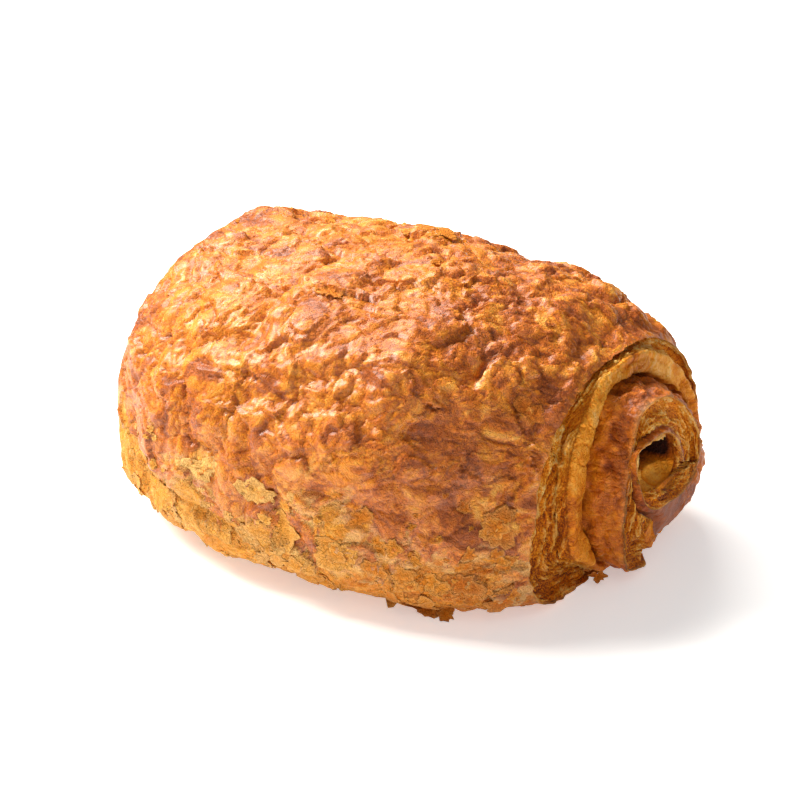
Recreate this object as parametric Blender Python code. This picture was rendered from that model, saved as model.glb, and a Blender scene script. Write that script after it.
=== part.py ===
"""Pain au chocolat: a rolled and baked pastry as one closed solid.

The roll lies along X with its spiral end toward +X and its long visible side toward -Y.
The crust is a tapered, flat-footed barrel. Each end is a spiral ribbon that steps outward
turn by turn and closes in a folded core with a shallow slot and a tongue of dough in it.
"""

from collections import namedtuple
from itertools import product

import bpy
import numpy as np

MM = 0.001

# Crust barrel
LENGTH = 91.0
HALF_WIDTH = 42.2
HEIGHT = 57.0
WAIST_SHARE = 0.39
TAPER_POWER = 2.6
CROWN_POWER = 2.35
FOOT_POWER = 3.6
MIDDLE_Y = -4.0
SEAM = np.radians(308.0)

# Spiral ends: the turns count from the seam under the roll
TURNS = 2.9
NEAR_TURN = 0.356
TOP_TURN = 0.606
FAR_TURN = 0.856
FOOT_TURN = 0.106
NEAR_POWER = 3.4
FAR_POWER = 2.0
TILT_TURNS = (1.5, 2.1)

# Seam, where the rim of the crust turns inward and becomes the first turn of the coil
SEAM_REACH = 0.14
SEAM_SHARE = 0.2
SEAM_AFTER = 0.1
SEAM_BEFORE = 0.88
STEP_FROM = 1.03
STEP_TO = 1.09
COIL_START = 1.12
FAR_SPREAD = 0.09

# Section of the band between two turns, in shares of its parts
RIDGE_SOFT = 0.04
RIDGE_POWER = 2.6
HOLLOW_RISE = 0.3
HOLLOW_FALL = 0.7
HOLLOW_END = 1.05
GROOVE_DEEP = 0.2
GROOVE_END = 0.6
WALL_START = 0.1
FULL_WIDTH = 8.0
ROUND_TURNS = ((0.95, 0.14), (1.16, 0.09))

# Slot in the folded core, with the tongue in its lower half
MOUTH_SLOPE = -0.14
MOUTH_POWER = 3.0
MOUTH_SOFT = 0.72
TONGUE_TOP = 0.42
TONGUE_BASE = 0.06
MOUTH_LIP = 0.05
MOUTH_FULL = 0.18
LEVEL_SHARE = 0.3

End = namedtuple("End", (
    "side width height middle_y foot_lift "
    "near top far foot centre_y centre_z tilt "
    "reach far_reach ridge groove hollow core_y core_z "
    "mouth_y mouth_z mouth_width mouth_height mouth_depth tongue"))

FRONT = End(
    side=1, width=0.71, height=0.81, middle_y=3.0, foot_lift=1.0,
    near=(-8.8, -6.6), top=(40.6, 33.4), far=(20.0, 12.0), foot=(5.0, 16.4),
    centre_y=(-3.0, 3.0), centre_z=(21.0, 25.0), tilt=(0.0, 0.5),
    reach=(8.5, 10.5), far_reach=3.0, ridge=2.5, groove=2.6, hollow=1.5,
    core_y=3.0, core_z=22.0,
    mouth_y=-0.6, mouth_z=27.2, mouth_width=11.4, mouth_height=5.0, mouth_depth=9.0, tongue=6.0)
BACK = End(
    side=-1, width=0.83, height=0.90, middle_y=-0.6, foot_lift=2.0,
    near=(-20.0, -9.0), top=(41.0, 32.5), far=(20.0, 10.0), foot=(3.6, 13.0),
    centre_y=(-1.0, 1.0), centre_z=(21.0, 24.0), tilt=(0.0, 0.2),
    reach=(6.0, 8.0), far_reach=1.0, ridge=1.6, groove=1.8, hollow=0.6,
    core_y=1.0, core_z=20.0,
    mouth_y=0.0, mouth_z=26.6, mouth_width=7.6, mouth_height=4.4, mouth_depth=4.6, tongue=2.6)

# Where the smooth inner ridge of the sheet lies across the band, turn by turn
RIDGE_TURNS = (0.0, 0.2, 0.36, 0.6, 0.8, 0.93, 1.04, 1.14, 1.36, 1.6, 1.9)
RIDGE_FROM = (0.5, 0.57, 0.55, 0.30, 0.36, 0.14, 0.06, 0.5, 0.6, 0.6, 0.6)
RIDGE_TO = (0.66, 0.79, 0.80, 0.90, 0.48, 0.22, 0.12, 0.70, 0.80, 0.82, 0.82)
RIDGE_SIZE = (0.2, 1.0, 1.0, 1.0, 0.8, 0.3, 0.1, 0.1, 0.1, 0.0, 0.0)
GROOVE_SIZE = (0.2, 1.0, 1.0, 0.9, 0.7, 0.5, 0.1, 0.4, 1.0, 0.2, 0.0)

# Baked irregularity
LATTICE = 32
OFFSET = 7.3
DRIFT = 1.0
DRIFT_SIZE = 21.0
DRIFT_SEEDS = (11, 12, 13)
PUFFS = ((2.0, 13.0, 21), (1.3, 7.0, 22))
PUFF_MEAN = 0.3
BASE_SINK = 1.0
RIM_FADE = 5.0
FOOT_FADE = 8.0
CENTRE_X = 1.15
CENTRE_Y = -3.92

# Mesh fineness
SPOKES = 80
ROWS = 27
ROW_CROWDING = 0.4 * np.pi
CUT_STEPS = (0.0, 0.5, 0.9)
RIDGE_STEPS = (0.15, 0.85)
WALL_STEPS = (0.15, 0.45, 0.75)
CORE_STEPS = (0.06, 0.14, 0.26, 0.42, 0.60, 0.80)


def ease(low, high, value):
    share = np.clip((value - low) / (high - low), 0.0, 1.0)
    return share * share * (3.0 - 2.0 * share)


def bump(value, centre, spread):
    return np.exp(-((value - centre) / spread) ** 2)


def superellipse(angle, right, left, up, down, crown, foot):
    """Radius at an angle of a rounded box with its own reach to each side."""
    across = np.where(np.cos(angle) >= 0.0, right, left)
    tall = np.where(np.sin(angle) >= 0.0, up, down)
    power = np.where(np.sin(angle) >= 0.0, crown, foot)
    shares = np.abs(np.cos(angle) / across) ** power + np.abs(np.sin(angle) / tall) ** power
    return shares ** (-1.0 / power)


def barrel(x, angle):
    """Point of the crust at a place along the roll and an angle round it."""
    place = x / (LENGTH / 2)
    taper = np.abs(place) ** TAPER_POWER
    ends = [np.where(place > 0, front, back) for front, back in (
        (FRONT.width, BACK.width), (FRONT.height, BACK.height),
        (FRONT.middle_y, BACK.middle_y), (FRONT.foot_lift, BACK.foot_lift))]
    half_width = HALF_WIDTH * (1 - taper * (1 - ends[0]))
    height = HEIGHT * (1 - taper * (1 - ends[1]))
    waist = WAIST_SHARE * height
    radius = superellipse(angle, half_width, half_width, height - waist, waist,
                          CROWN_POWER, FOOT_POWER)
    y = MIDDLE_Y * (1 - taper) + ends[2] * taper + radius * np.cos(angle)
    z = waist + radius * np.sin(angle)
    lift = ends[3] * taper * ease(waist, 0.0, z)
    return y, z + lift


def edge(end, turn):
    """Reach and place of the outer edge of the sheet as it winds inward from the rim."""
    angle = SEAM - 2 * np.pi * turn
    rim_y, rim_z = barrel(np.full_like(turn, end.side * LENGTH / 2), angle)
    near = np.interp(turn, (1 + NEAR_TURN, 2 + NEAR_TURN), end.near)
    top = np.interp(turn, (1 + TOP_TURN, 2 + TOP_TURN), end.top)
    far = np.interp(turn, (1 + FAR_TURN, 2 + FAR_TURN), end.far)
    foot = np.interp(turn, (1 + FOOT_TURN, 2 + FOOT_TURN), end.foot)
    centre_y = np.interp(turn, (1.0, 2.0), end.centre_y)
    centre_z = np.interp(turn, (1.0, 2.0), end.centre_z)
    tilt = np.interp(turn, TILT_TURNS, end.tilt)
    power = np.where(np.cos(angle) >= 0.0, FAR_POWER, NEAR_POWER)
    radius = superellipse(angle, far - centre_y, centre_y - near,
                          top - centre_z, centre_z - foot, power, power)
    coil_z = centre_z + radius * np.sin(angle)
    coil_y = centre_y + radius * np.cos(angle) - tilt * (coil_z - centre_z)
    inward = ease(1.0, 1.0 + SEAM_REACH, turn)
    y = rim_y + (coil_y - rim_y) * inward
    z = rim_z + (coil_z - rim_z) * inward
    seam_reach = SEAM_SHARE * end.reach[0]
    by_seam = np.maximum(ease(SEAM_AFTER, 0.0, turn), ease(SEAM_BEFORE, 1.0, turn))
    rim_reach = seam_reach * by_seam + end.far_reach * bump(turn, FAR_TURN, FAR_SPREAD)
    coil_reach = np.interp(turn, (COIL_START, 2.0), end.reach)
    coil_reach = seam_reach + (coil_reach - seam_reach) * ease(STEP_FROM, STEP_TO, turn)
    return np.where(turn <= 1.0, rim_reach, coil_reach), y, z


def band_shares(turn):
    """Places across the band that follow its cut face, its ridge and the wall beyond."""
    start = np.interp(turn, RIDGE_TURNS, RIDGE_FROM)
    stop = np.interp(turn, RIDGE_TURNS, RIDGE_TO)
    cut = [start * step for step in CUT_STEPS]
    ridge = [start + (stop - start) * step for step in RIDGE_STEPS]
    wall = [stop + (1 - stop) * step for step in WALL_STEPS]
    return np.array(cut + ridge + wall + [1.0])


def band(end, turn, share):
    """Reach and place of a point between one turn of the edge and the next one inward."""
    outer = edge(end, turn)
    inner = edge(end, turn + 1.0)
    y = outer[1] + (inner[1] - outer[1]) * share
    z = outer[2] + (inner[2] - outer[2]) * share
    start = np.interp(turn, RIDGE_TURNS, RIDGE_FROM)
    stop = np.interp(turn, RIDGE_TURNS, RIDGE_TO)
    wall = (share - stop) / (1 - stop)
    across = (share - (start + stop) / 2) / ((stop - start) / 2 + RIDGE_SOFT)
    raised = np.sqrt(np.clip(1.0 - np.abs(across) ** RIDGE_POWER, 0.0, 1.0))
    cut = share / start
    hollow = end.hollow * ease(0.0, HOLLOW_RISE, cut) * ease(HOLLOW_END, HOLLOW_FALL, cut)
    sunk = ease(0.0, GROOVE_DEEP, wall) * ease(GROOVE_END, GROOVE_DEEP, wall)
    ridge = end.ridge * np.interp(turn, RIDGE_TURNS, RIDGE_SIZE) * raised
    groove = end.groove * np.interp(turn, RIDGE_TURNS, GROOVE_SIZE) * sunk
    width = np.hypot(inner[1] - outer[1], inner[2] - outer[2])
    flat_wall = ease(WALL_START, 1.0, wall)
    round_wall = np.sqrt(1 - (1 - np.clip(wall, 0.0, 1.0)) ** 2)
    roundness = sum(bump(turn, place, spread) for place, spread in ROUND_TURNS)
    rise = (inner[0] - outer[0]) * (flat_wall + (round_wall - flat_wall) * roundness)
    return outer[0] + rise + (ridge - groove - hollow) * ease(0.0, FULL_WIDTH, width), y, z


def core(end, y, z, reach, share):
    """Reach of the folded middle, with a slot and the tongue of dough inside it."""
    across = (y - end.mouth_y) / end.mouth_width
    tall = (z - end.mouth_z - MOUTH_SLOPE * (y - end.mouth_y)) / end.mouth_height
    spread = np.abs(across) ** MOUTH_POWER + np.abs(tall) ** MOUTH_POWER
    inside = ease(1.0, MOUTH_SOFT, spread ** (1.0 / MOUTH_POWER)) * ease(MOUTH_LIP, MOUTH_FULL, share)
    tongue = end.tongue * ease(TONGUE_TOP, TONGUE_BASE, tall)
    return reach - (end.mouth_depth - tongue) * inside


def lattice_noise(points, size, seed):
    """Smooth seeded noise from about -1 to 1 whose lumps measure about the given size."""
    knots = np.random.RandomState(seed).uniform(-1.0, 1.0, (LATTICE,) * 3)
    spot = points / size + OFFSET
    whole = np.floor(spot).astype(int)
    part = spot - whole
    part = part ** 3 * (part * (part * 6.0 - 15.0) + 10.0)
    total = np.zeros(len(points))
    for corner in product((0, 1), repeat=3):
        at = (whole + corner) % LATTICE
        weight = np.prod(np.where(corner, part, 1.0 - part), axis=1)
        total += weight * knots[at[:, 0], at[:, 1], at[:, 2]]
    return total


def settle(points, crust):
    """Give the plain form its baked irregularity: puffs, leaning turns and a flat base."""
    drift = [lattice_noise(points, DRIFT_SIZE, seed) for seed in DRIFT_SEEDS]
    moved = points + DRIFT * np.stack(drift, -1)
    outward = moved * (0.0, 1.0, 1.0) - (0.0, MIDDLE_Y, WAIST_SHARE * HEIGHT)
    outward /= np.linalg.norm(outward, axis=1, keepdims=True)
    puffs = sum(size * (np.abs(lattice_noise(points, spread, seed)) - PUFF_MEAN)
                for size, spread, seed in PUFFS)
    moved += outward * (puffs * crust * ease(0.0, FOOT_FADE, moved[:, 2]))[:, None]
    moved[:, 2] = np.maximum(moved[:, 2] - BASE_SINK, 0.0)
    moved[:, :2] -= (CENTRE_X, CENTRE_Y)
    return moved


def build_end(end, rim_indices, points, faces):
    """Add one spiral end to the shared point list and face list."""
    steps = len(band_shares(0.0)) - 1
    last = int(round((TURNS - 1.0) * SPOKES))
    count = last + SPOKES
    turns = np.arange(count + 1) / SPOKES

    def place(reach, y, z):
        x = end.side * (LENGTH / 2 + reach)
        return np.stack([x, y, z], -1)

    edges = place(*edge(end, turns))
    edge_index = list(rim_indices) + [rim_indices[0]]
    for corner in edges[SPOKES + 1:]:
        edge_index.append(len(points))
        points.append(corner)
    columns = []
    for column in range(last + 1):
        if column == 0:
            columns.append([edge_index[0]] * (steps + 1))
            continue
        shares = band_shares(turns[column])[1:-1]
        inner = place(*band(end, np.full_like(shares, turns[column]), shares))
        indices = [edge_index[column]]
        for corner in inner:
            indices.append(len(points))
            points.append(corner)
        indices.append(edge_index[column + SPOKES])
        columns.append(indices)
    for here, there in zip(columns, columns[1:]):
        for step in range(steps):
            quad = [here[step], there[step], there[step + 1], here[step + 1]]
            quad = [index for at, index in enumerate(quad) if index != quad[at - 1]]
            faces.append(quad[::-end.side])
    loop = edge_index[last:last + SPOKES + 1] + columns[last][steps - 1:0:-1]
    ring = np.array([points[index] for index in loop])
    middle = np.array([0.0, end.core_y, end.core_z])
    before = loop
    for share in CORE_STEPS:
        spot = ring + (middle - ring) * share
        reach = np.abs(ring[:, 0]) - LENGTH / 2
        level = reach + (end.reach[1] - reach) * ease(0.0, LEVEL_SHARE, share)
        depth = core(end, spot[:, 1], spot[:, 2], level, share)
        now = []
        for corner in place(depth, spot[:, 1], spot[:, 2]):
            now.append(len(points))
            points.append(corner)
        for at in range(len(loop)):
            ahead = (at + 1) % len(loop)
            faces.append([before[at], before[ahead], now[ahead], now[at]][::-end.side])
        before = now
    centre = len(points)
    centre_reach = core(end, middle[1], middle[2], end.reach[1], 1.0)
    points.append(place(centre_reach, middle[1], middle[2]))
    for at in range(len(loop)):
        faces.append([before[at], before[(at + 1) % len(loop)], centre][::-end.side])


def build_roll():
    points = []
    faces = []
    angles = SEAM - 2 * np.pi * np.arange(SPOKES) / SPOKES
    places = np.sin(np.linspace(-1, 1, ROWS) * ROW_CROWDING) / np.sin(ROW_CROWDING)
    rims = {0: BACK, ROWS - 1: FRONT}
    rows = []
    for number, place in enumerate(places * LENGTH / 2):
        y, z = barrel(np.full_like(angles, place), angles)
        x = np.full_like(angles, place)
        if number in rims:
            end = rims[number]
            reach, y, z = edge(end, np.arange(SPOKES) / SPOKES)
            x = x + end.side * reach
        row = []
        for corner in np.stack([x, y, z], -1):
            row.append(len(points))
            points.append(corner)
        rows.append(row)
    for here, there in zip(rows, rows[1:]):
        for at in range(SPOKES):
            ahead = (at + 1) % SPOKES
            faces.append([here[at], there[at], there[ahead], here[ahead]])
    crust_count = len(points)
    build_end(FRONT, rows[-1], points, faces)
    build_end(BACK, rows[0], points, faces)
    points = np.array(points)
    crust = ease(0.0, RIM_FADE, LENGTH / 2 - np.abs(points[:, 0]))
    crust[crust_count:] = 0.0
    points = settle(points, crust)
    return points, faces


def main():
    for item in list(bpy.data.objects):
        bpy.data.objects.remove(item)
    points, faces = build_roll()
    mesh = bpy.data.meshes.new("pastry")
    mesh.from_pydata((points * MM).tolist(), [], faces)
    mesh.validate()
    roll = bpy.data.objects.new("pastry", mesh)
    bpy.context.scene.collection.objects.link(roll)


main()
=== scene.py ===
"""Dresses the pain au chocolat: fine crust, cut layers, flakes and studio."""

from collections import namedtuple
from itertools import product

import bpy
import numpy as np
from mathutils import Matrix, Vector
from mathutils.bvhtree import BVHTree


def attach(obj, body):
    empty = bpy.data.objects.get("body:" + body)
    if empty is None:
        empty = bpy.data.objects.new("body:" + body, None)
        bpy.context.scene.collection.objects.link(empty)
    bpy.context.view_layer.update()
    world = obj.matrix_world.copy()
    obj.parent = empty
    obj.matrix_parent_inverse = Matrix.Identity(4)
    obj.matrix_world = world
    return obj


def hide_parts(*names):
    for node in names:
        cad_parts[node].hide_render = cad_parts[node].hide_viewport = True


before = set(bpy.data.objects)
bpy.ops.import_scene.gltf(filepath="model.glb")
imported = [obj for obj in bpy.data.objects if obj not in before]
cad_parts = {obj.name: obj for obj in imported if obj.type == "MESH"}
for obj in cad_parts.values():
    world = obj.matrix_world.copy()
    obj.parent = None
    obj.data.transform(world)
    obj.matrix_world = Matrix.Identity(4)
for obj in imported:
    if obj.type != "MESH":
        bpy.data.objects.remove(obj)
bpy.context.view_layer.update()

MM = 0.001

# Crust barrel in millimetres, as in the solid
LENGTH = 91.0
HALF_WIDTH = 42.2
HEIGHT = 57.0
WAIST_SHARE = 0.39
TAPER_POWER = 2.6
CROWN_POWER = 2.35
FOOT_POWER = 3.6
MIDDLE_Y = -4.0
SEAM = np.radians(308.0)

# Spiral ends: the turns count from the seam under the roll
TURNS = 2.9
NEAR_TURN = 0.356
TOP_TURN = 0.606
FAR_TURN = 0.856
FOOT_TURN = 0.106
NEAR_POWER = 3.4
FAR_POWER = 2.0
TILT_TURNS = (1.5, 2.1)

# Seam, where the rim of the crust turns inward and becomes the first turn of the coil
SEAM_REACH = 0.14
SEAM_SHARE = 0.2
SEAM_AFTER = 0.1
SEAM_BEFORE = 0.88
STEP_FROM = 1.03
STEP_TO = 1.09
COIL_START = 1.12
FAR_SPREAD = 0.09

# Section of the band between two turns, in shares of its parts
RIDGE_SOFT = 0.04
RIDGE_POWER = 2.6
HOLLOW_RISE = 0.3
HOLLOW_FALL = 0.7
HOLLOW_END = 1.05
GROOVE_DEEP = 0.2
GROOVE_END = 0.6
WALL_START = 0.1
FULL_WIDTH = 8.0
ROUND_TURNS = ((0.95, 0.14), (1.16, 0.09))

# Slot in the folded core, with the tongue in its lower half
MOUTH_SLOPE = -0.14
MOUTH_POWER = 3.0
MOUTH_SOFT = 0.72
TONGUE_TOP = 0.0
TONGUE_BASE = -0.4
MOUTH_LIP = 0.05
MOUTH_FULL = 0.18
LEVEL_SHARE = 0.3

End = namedtuple("End", (
    "side width height middle_y foot_lift "
    "near top far foot centre_y centre_z tilt "
    "reach far_reach ridge groove hollow core_y core_z "
    "mouth_y mouth_z mouth_width mouth_height mouth_depth tongue"))

FRONT = End(
    side=1, width=0.71, height=0.81, middle_y=3.0, foot_lift=1.0,
    near=(-8.8, -6.6), top=(40.6, 33.4), far=(20.0, 12.0), foot=(5.0, 16.4),
    centre_y=(-3.0, 3.0), centre_z=(21.0, 25.0), tilt=(0.0, 0.5),
    reach=(8.5, 10.5), far_reach=3.0, ridge=2.5, groove=2.6, hollow=1.5,
    core_y=3.0, core_z=22.0,
    mouth_y=-0.6, mouth_z=27.2, mouth_width=11.4, mouth_height=5.0, mouth_depth=9.0, tongue=6.0)
BACK = End(
    side=-1, width=0.83, height=0.90, middle_y=-0.6, foot_lift=2.0,
    near=(-20.0, -9.0), top=(41.0, 32.5), far=(20.0, 10.0), foot=(3.6, 13.0),
    centre_y=(-1.0, 1.0), centre_z=(21.0, 24.0), tilt=(0.0, 0.2),
    reach=(6.0, 8.0), far_reach=1.0, ridge=1.6, groove=1.8, hollow=0.6,
    core_y=1.0, core_z=20.0,
    mouth_y=0.0, mouth_z=26.6, mouth_width=7.6, mouth_height=4.4, mouth_depth=4.6, tongue=2.6)

# Where the smooth inner ridge of the sheet lies across the band, turn by turn
RIDGE_TURNS = (0.0, 0.2, 0.36, 0.6, 0.8, 0.93, 1.04, 1.14, 1.36, 1.6, 1.9)
RIDGE_FROM = (0.5, 0.57, 0.55, 0.30, 0.36, 0.14, 0.06, 0.5, 0.6, 0.6, 0.6)
RIDGE_TO = (0.66, 0.79, 0.80, 0.90, 0.48, 0.22, 0.12, 0.70, 0.80, 0.82, 0.82)
RIDGE_SIZE = (0.2, 1.0, 1.0, 1.0, 0.8, 0.3, 0.1, 0.1, 0.1, 0.0, 0.0)
GROOVE_SIZE = (0.2, 1.0, 1.0, 0.9, 0.7, 0.5, 0.1, 0.4, 1.0, 0.2, 0.0)

# Baked irregularity
LATTICE = 32
OFFSET = 7.3
DRIFT = 1.0
DRIFT_SIZE = 21.0
DRIFT_SEEDS = (11, 12, 13)
PUFFS = ((2.0, 13.0, 21), (1.3, 7.0, 22))
PUFF_MEAN = 0.3
BASE_SINK = 1.0
RIM_FADE = 5.0
FOOT_FADE = 8.0
CENTRE_X = 1.15
CENTRE_Y = -3.92

# Noise: how fast its octaves fade, and how it makes creases and crests
OCTAVE_FADE = 0.55
CREASE_SOFT = 1e-4
CREASE_SHARE = 0.9
CREST_SHARE = 0.5
CREST_SEED = 200
WRINKLE_MEAN = 0.34

# Wrinkles of the crust, and of the smooth dough at the ends: size, seed and depth
CRUST_WRINKLES = ((4.8, 42, 0.24), (2.3, 43, 0.22), (1.1, 44, 0.20))
DOUGH_WRINKLES = ((4.4, 81, 0.70), (2.0, 82, 0.45), (0.9, 83, 0.20))

# How patterns are crumpled before they are read: size, amount and seed
CRUST_CRUMPLES = ((7.0, 2.2, 35), (2.4, 0.9, 45), (0.9, 0.25, 47))
DOUGH_CRUMPLES = ((3.0, 0.8, 86),)
CRACK_CRUMPLES = ((1.0, 0.3, 87),)

# Ragged torn edge of the sheet: size, seed and reach, and the turns where it is whole
FRAY_PACE = 70.0
FRAYS = ((2.0, 101, 0.45), (0.6, 102, 0.30))
FRAY_QUIET = ((0.0, 0.02), (1.0, 0.02), (1.07, 0.04))
FRAY_RANGE = (1.56, 1.04)
FRAY_INLAND = 2.2
FRAY_OUTER = 0.14
FRAY_INNER = 0.9

# Parts of the crust, from where each starts to where it is full, and the wander of borders
WANDER = (14.0, 31)
TOP_RANGE = (14.0, 44.0)
TOP_WANDER = 8.0
LOW_RANGE = (26.0, 6.0)
LOW_WANDER = 5.0
NEAR_RANGE = (-5.0, 44.0)
RIM_RANGE = (0.0, 1.2)
FOOT_RANGE = (0.3, 3.0)

# Flat plates of the crumpled crust: size, seed, how far they tilt and how much their tones differ
FACETS = ((12.0, 51, 1.10, 0.35), (6.0, 55, 0.70, 0.35), (3.0, 59, 0.26, 0.25))
PLATE_LOW = 0.75
BORDER_WIDTH = 0.40
BORDER_DEEP = 0.22

# Egg-washed skin: the height where it begins, how that varies, and the torn hem there
WASH_HEIGHT = 21.0
WASH_SPREAD = 13.0
WASH_WANDER = 0.5
WASH_NEAR = 0.7
WASH_PLATES = 1.1
WASH_RANGE = (-0.10, 0.10)
HEM = (-0.02, 0.16)
SKIN_THICK = 0.45

# Patches, flecks and broad clouds of tone on the crust: size, seed and octaves
PATCHES = (4.6, 71, 4)
PATCH_RANGE = (0.25, 0.75)
FLECKS = (2.6, 74, 3)
CLOUDS = (15.0, 76, 2)

# Strength of the crust's wrinkles, on plain dough, in patches and low down
PLAIN_RELIEF = 0.85
PATCH_RELIEF = 0.8
LOW_CALM = 0.4

# What each cause adds to the bake and painted light and shade of the crust, from 0 for pale to 1 for
# dark
DOUGH_BAKE = 0.22
WASH_BAKE = 0.17
TONE_BAKE = 0.08
PATCH_BAKE = 0.22
PATCH_UNWASHED = 0.3
FLECK_BAKE = 0.07
FLECK_NEAR_BAKE = 0.13
# Painted highlight on the wrinkles' puffs and painted shade in their creases
WRINKLE_PAINTED_LIGHT = -0.30
# Darker toward the near end: partly a darker bake, partly painted shade of the key light falling off
NEAR_SHADE_AND_BAKE = 0.32
NEAR_WASH_SHADE_AND_BAKE = -0.27
CLOUD_BAKE = 0.08
# Painted shade in the crease lines between plates of washed skin
BORDER_PAINTED_SHADE = 0.17

# The bake of washed skin gains contrast about its middle and stops short of burnt
SKIN_BAKE = 0.42
SKIN_REACH = 0.38
SKIN_GAIN = 1.25

# Pale torn edges, gloss and rust colour of the crust
HEM_TORN = 0.8
HEM_TOP = 0.7
BORDER_TORN = 0.35
DOUGH_GLOSS = 0.12
DULL_GLOSS = 0.6
GLOSS_RANGE = (0.3, -0.3)
PATCH_RUST = 0.45
DOUGH_RUST = 0.28

# Zones of the spiral ends, in turns and in shares of the band, of its wall or of the core
CUT_SOFT = (0.03, -0.05)
COIL_TURN = 1.15
COIL_CUT = (0.25, 0.08)
SLOT_RIM = 0.5
CORE_CUT = 0.30
WALL_SIDE = 0.14
HUB_RANGE = (0.45, 0.85)
HUB_SMOOTH = 0.8
LIP_OUTER = 0.05
LIP_INNER = 0.96
UNDER = (1.12, 0.16)
STEP = (1.06, 0.05)
INNER_TURN = 1.02

Zones = namedtuple("Zones", "cut ridge valley corner under slot tongue slope")

# Relief of the ends
LAYER_RELIEF = 0.95
LAYER_SINK = 0.75
RIDGE_RELIEF = 0.8
CRACK_RELIEF = 0.35
SLOPE_RELIEF = 1.1
SLOPE_RISE = (0.30, 1.0)
SLOPE_FALL = (1.2, 1.0)
VALLEY_RELIEF = 1.8
TONGUE_RELIEF = 0.4
CORE_SINK = 0.45
SLOT_SINK = 0.5
UNDER_CALM = 0.7
STEP_CALM = 0.7
INNER_CALM = 0.6

# Creases across the tongue of dough in the slot
TONGUE_PLEATS = (-3.4, 1.6)
PLEAT_WIDTH = 0.4
PLEAT_DEEP = 1.3

# Cracks across the ridge: spacing along the winding, down the band and outward
CRACK_SPACING = (4.5, 9.0, 9.0)
CRACK_SEED = 88
CRACK_WIDTH = 0.05

# Torn layers: their distance and length, the larger waver of them, and the holes between
SHEET_APART = 0.66
SHEET_LONG = 5.0
SHEET_WAVERS = ((9.0, 91, 1.1), (3.5, 92, 0.45), (1.3, 93, 0.14))
SHEET_SHARP = 1.9
SHEET_SEED = 95
FINE_SHEETS = (1.8, 1.9, 1.0)
FINE_SHEET_SEED = 96
HOLE_SPACING = (0.70, 1.2, 1.0)
HOLE_SEED = 97
HOLE_RANGE = (0.05, 0.40)
SHEET_SHARE = 0.55
FINE_SHEET_SHARE = 0.5
HOLE_SHARE = 0.6
SHEET_GRAIN = (1.7, 1.0, 1.0)

# What each cause adds to the bake and painted light and shade of the ends
END_CLOUDS = (6.0, 85, 3)
END_PATCHES = (2.4, 89, 3)
END_BAKE = 0.46
END_CLOUD_BAKE = 0.06
# Painted shade in the gaps and holes between torn layers, paler on the sheets
LAYER_PAINTED_SHADE = 0.50
LAYER_MIDDLE = 0.50
RIDGE_BAKE = 0.02
RIDGE_PATCH_BAKE = 0.12
# Painted shade in the cracks across the ridge
CRACK_PAINTED_SHADE = 0.12
VALLEY_BAKE = 0.18
VALLEY_PATCH_BAKE = 0.13
# Painted shade in the deep corner of the valley at the foot of the ridge
CORNER_PAINTED_SHADE = 0.10
CORNER_SHADE_RANGE = (0.5, 0.1)
# Painted light: the near end's cut faces and ridges lighter toward the top, against the overhang's
# shade; the far end darker as painted shade
PAINTED_LIGHT_RANGE = (18.0, 40.0)
CUT_PAINTED_LIGHT = -0.22
RIDGE_PAINTED_LIGHT = -0.20
FAR_PAINTED_SHADE = -0.6
# Painted shade darkening the deep slot inside the core
SLOT_PAINTED_SHADE = 0.8
TONGUE_BAKE = -0.20
# Painted shade in the creases across the tongue
PLEAT_PAINTED_SHADE = 0.5
# Painted highlight on the crests of the ends' smooth dough and painted shade in its creases
SMOOTH_PAINTED_LIGHT = -0.22
# Painted shade, darker and rust-tinted, on the downward-facing face below the core
UNDER_PAINTED_SHADE = 0.24

# Pale torn edges, gloss, rust colour and fibre of the ends; below the core the rust tint is painted
# shade
LAYER_TORN = 0.55
LAYER_TORN_RANGE = (0.55, 0.95)
EDGE_TORN = 0.5
EDGE_LINES = ((0.0, 0.03), (1.0, 0.02))
VALLEY_GLOSS = 0.4
RIDGE_GLOSS = 0.12
RIDGE_RUST = 0.4
RIDGE_RUST_RANGE = (0.0, 0.5)
RIDGE_FIBRE = 0.3
FIBRE_GRAIN_FROM = 0.5

# Mesh fineness of the dressed surface
FINE = 1.0
SPOKES = int(720 * FINE)
ROW_STEP = 0.42 / FINE
NEAR_STEPS = int(104 * FINE)
NEAR_RINGS = int(34 * FINE)
FAR_STEPS = int(40 * FINE)
FAR_RINGS = int(14 * FINE)
WALK_TRIES = 240
WALL_EFFORT = 0.4

# Torn flakes: how many cling to the crust and to the near end, and the largest of each
FLAKES = ((420, "side", 3.6), (14, "end", 1.1))
FLAKE_SEED = 7
FLAKE_SPOKES = 28
FLAKE_RINGS = (0.4, 0.72, 0.9, 1.0)
FLAKE_THICK = 0.16
FLAKE_BELLY = 0.5
FLAKE_LEAST = 0.5
FLAKE_RARITY = 2.6
FLAKE_STRETCH = (0.6, 1.0)

# Torn outline of a flake
OUTLINE_ROUGH = 0.20
OUTLINE_WAVES = range(2, 9)
OUTLINE_WAVE_DEEP = 0.7
OUTLINE_LIMITS = (0.35, 1.6)

# How a flake lies: it follows the crust, one side curls away, and it never stands on a crest
RAY_REACH = 5.0
FLAKE_GAP = 0.12
FLAKE_CREST = 0.6
FLAKE_FOLLOW = 0.7
CURL_SPREAD = 1.0
CURL_LIFT = (0.1, 0.35)
CURL_BY_SIZE = 0.12
LEVEL_LIMIT = 0.1

# Where flakes cling, in millimetres of height and of distance past the rim
END_CLING = (15.0, 5.0)
SIDE_CLING = (34.0, 10.0)
FOOT_CLING = (0.8, 3.0)
RIM_CLING = (1.0, -5.0)
TOP_CHANCE = 0.008

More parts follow.
